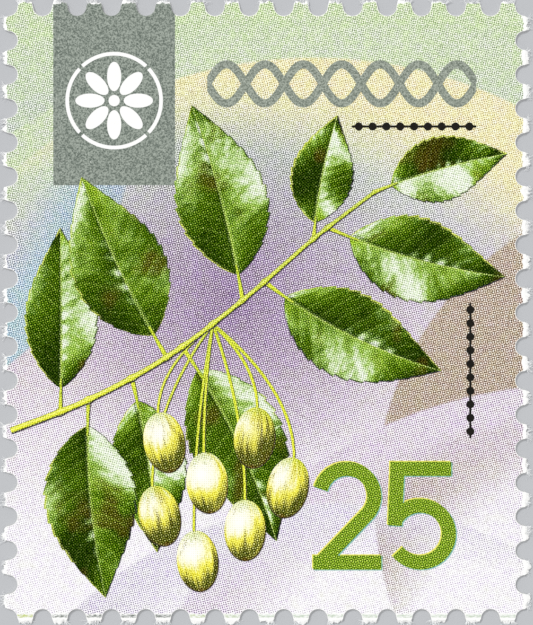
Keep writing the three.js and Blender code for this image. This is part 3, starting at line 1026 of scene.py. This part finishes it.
def twig_print():
    """The twig, the leaf stalks and the fruit stalks, each a hair lower than the one before it."""
    stems = []
    thin = INK / 2
    step = thin / (len(LEAVES) + len(FRUITS) + 1)

    def add(line, widths, green):
        low = level(4) + thin - step * len(stems)
        stems.append(stem(line, widths, low, thin, green))

    t = np.linspace(0, 1, STEM_STEPS["twig"])
    widths = np.linspace(*TWIG_WIDTHS, len(t))
    for knot in [leaf.at for leaf in LEAVES] + [FRUIT_NODE]:
        widths = widths + KNOT[0] * bell(t - knot, KNOT[1])
    add(np.array([twig_at(x) for x in t]), widths, (0, 0.6))
    for leaf in LEAVES:
        t = np.linspace(0, STALK_SHARE + 0.05, STEM_STEPS["leaf"])
        add(midrib(leaf, t), np.linspace(*LEAF_STALK, len(t)), (0.3, 0.8))
    start = twig_at(FRUIT_NODE)
    t = np.linspace(0, 1, STEM_STEPS["fruit"])[:, None]
    for fruit in FRUITS:
        end = FRUIT["half_length"] * heading(math.radians(fruit.lean + 90))
        end = end + (fruit.x, fruit.y)
        sag = np.array((end[0], (start[1] + end[1]) / 2))
        line = (1 - t) ** 2 * start + 2 * t * (1 - t) * sag + t * t * end
        add(line, np.linspace(*FRUIT_STALK, len(t)), (0.5, 0.2))
    parts = joined([one[:2] for one in stems])
    tones = np.vstack([one[2] for one in stems])
    piece("twig_print", *parts, stem_look, "twig_ink", ["twig"], tones)


def fruit_tones(fruit, seed, r, p, q, xy):
    """A painted fruit's colours: round, pale, streaked from end to end, with a dark scar at its lower
    end. r is how far out from its middle a place lies, p how far across and q how far up."""
    depth = np.sqrt(np.maximum(1.04 - p**2 - q**2, 0.0))
    diffuse, gloss = lit(-xy / FRUIT["half_width"] / (depth[..., None] + 0.25))
    around = p / np.sqrt(np.maximum(1.05 - q**2, 0.05))
    streak = mottle(3.2 * around, 0.8 * q, 0.5, seed, 3)
    body = diffuse + 0.2 * streak - 0.4 * fruit.ripe
    tone = mixed(OLIVE, YELLOW, smooth(body, -0.1, 0.5))
    tone = mixed(tone, CREAM, smooth(body, 0.42, 0.85))
    tone = mixed(tone, BROWN, 0.4 * smooth(0.4 * fruit.ripe - streak, 0.5, 1.3))
    tone = mixed(tone, FRESH, 0.45 * smooth(q + 0.15 * streak, 0.45, 1.0))
    tone = mixed(tone, WHITE, (0.85 - 0.6 * fruit.ripe) * gloss**14)
    facing = unit(xy + 1e-9) @ unit(LIGHT[:2])
    tone = mixed(tone, BROWN, 0.6 * smooth(r, 0.86, 1.0) * smooth(-facing, 0.0, 0.7))
    tone = mixed(tone, SHADOW, 0.9 * smooth(r, 0.95, 0.985) * smooth(-facing, 0.1, 0.5))
    scar = np.hypot(p, (q + 0.93) * 1.4)
    return mixed(tone, BROWN, 0.85 * smooth(scar, 0.16, 0.06))


def fruit_print(fruit, number):
    r = np.concatenate([[0], np.linspace(0.03, 1, FRUIT_RINGS)])[:, None]
    a = np.linspace(0, 2 * math.pi, FRUIT_SPOKES, endpoint=False)[None, :]
    p, q = r * np.cos(a), r * np.sin(a)
    xy = turned(p * FRUIT["half_width"], q * FRUIT["half_length"], math.radians(fruit.lean))
    tone = fruit_tones(fruit, FRUIT_SEED + number, r, p, q, xy)
    xy = xy + (fruit.x, fruit.y)
    low, high = level(fruit.number), level(fruit.number) + INK
    top = np.c_[xy[1:].reshape(-1, 2), np.full(FRUIT_RINGS * FRUIT_SPOKES, high)]
    points = np.vstack([(*xy[0, 0], high), top, np.c_[xy[-1], np.full(FRUIT_SPOKES, low)]])
    # The top's rings, from the inside out, and then the underside's.
    rings = 1 + np.arange((FRUIT_RINGS + 1) * FRUIT_SPOKES).reshape(-1, FRUIT_SPOKES)
    faces = [(0, b, c) for b, c in zip(rings[0], np.roll(rings[0], -1))]
    for inner, outer in zip(rings[:-1], rings[1:]):
        faces.extend(zip(inner, outer, np.roll(outer, -1), np.roll(inner, -1)))
    faces.append(rings[-1][::-1])
    tones = np.vstack([tone[0, :1], tone[1:].reshape(-1, 3), tone[-1]])
    piece(f"fruit_{number}_print", points, faces, fruit_look, "fruit_ink", [f"fruit_{number}"], tones)


# ---- Table, light and camera ----

LENS = 100.0
SENSOR = 36.0
VIEW_HEIGHT = 26.375  # the height of the picture's frame, on the stamp's face
TABLE_HALF = 600.0
TABLE_DROP = 0.01  # how far the table's top lies below the stamp's underside
SKY = 0.73
SUN = {"energy": 1.5, "angle": 16, "from": (-0.55, 0.6, 0.8)}


def table():
    look, shader = material("table", roughness=0.8, specular=0.1)
    speck = noise_value(position(shader), size=1.5, detail=3)
    coloured(shader, colour_mix(speck, linear(186, 188, 191), linear(192, 194, 197)))
    mesh = bpy.data.meshes.new("table")
    corners = np.c_[np.sign(CORNERS) * TABLE_HALF, np.full(4, -TABLE_DROP)] * MM
    mesh.from_pydata(corners.tolist(), [], [(0, 1, 2, 3)])
    mesh.materials.append(look)
    placed("table", mesh)


def lights():
    world = bpy.data.worlds.new("studio")
    world.use_nodes = True
    inputs = world.node_tree.nodes["Background"].inputs
    inputs["Color"].default_value = (1, 1, 1, 1)
    inputs["Strength"].default_value = SKY
    bpy.context.scene.world = world
    lamp = bpy.data.lights.new("key", "SUN")
    lamp.energy = SUN["energy"]
    lamp.angle = math.radians(SUN["angle"])
    placed("key", lamp).rotation_euler = Vector(SUN["from"]).to_track_quat("Z", "Y").to_euler()


def camera():
    data = bpy.data.cameras.new("camera")
    data.lens = LENS
    data.sensor_width = SENSOR
    data.clip_start = MM
    made = placed("camera", data)
    made.location = (0, 0, (FACE + VIEW_HEIGHT * LENS / SENSOR) * MM)
    scene = bpy.context.scene
    scene.camera = made
    scene.view_settings.view_transform = "Standard"
    # The print's dots are about two pixels apart, and noise removal wipes them away.
    scene.cycles.use_denoising = False


# ---- The whole stamp ----

camera()
paper_look = paper_material()
fibre_look = fibre_material()
gum_look = gum_material()
silver_look = silver_material("silver_ink", linear(80, 92, 83), linear(163, 172, 161))
pale_silver_look = silver_material("thin_silver_ink", linear(94, 104, 92), linear(170, 178, 165))
black_look = solid_ink_material("black_ink", linear(14, 13, 10), linear(40, 38, 33))
next_tint_look = next_row_material("next_row_tint", linear(188, 202, 104), linear(196, 210, 190))
next_silver_look = next_row_material("next_row_silver", linear(128, 134, 128), linear(128, 134, 128))
green_look = green_material()
ground_look = ground_material()
leaf_look = painted_material("leaf_ink")
stem_look = painted_material("twig_ink")
fruit_look = painted_material("fruit_ink")

paper_sheet()
gum_film()
torn_fibres()
ground_print()
block_print()
next_row_print()
chain_print()
for name, rule in RULES.items():
    rule_print("rule_" + name, *rule)
for number, leaf in enumerate(LEAVES, 1):
    leaf_print(leaf, number)
twig_print()
for number, fruit in enumerate(FRUITS, 1):
    fruit_print(fruit, number)
numerals()

table()
lights()
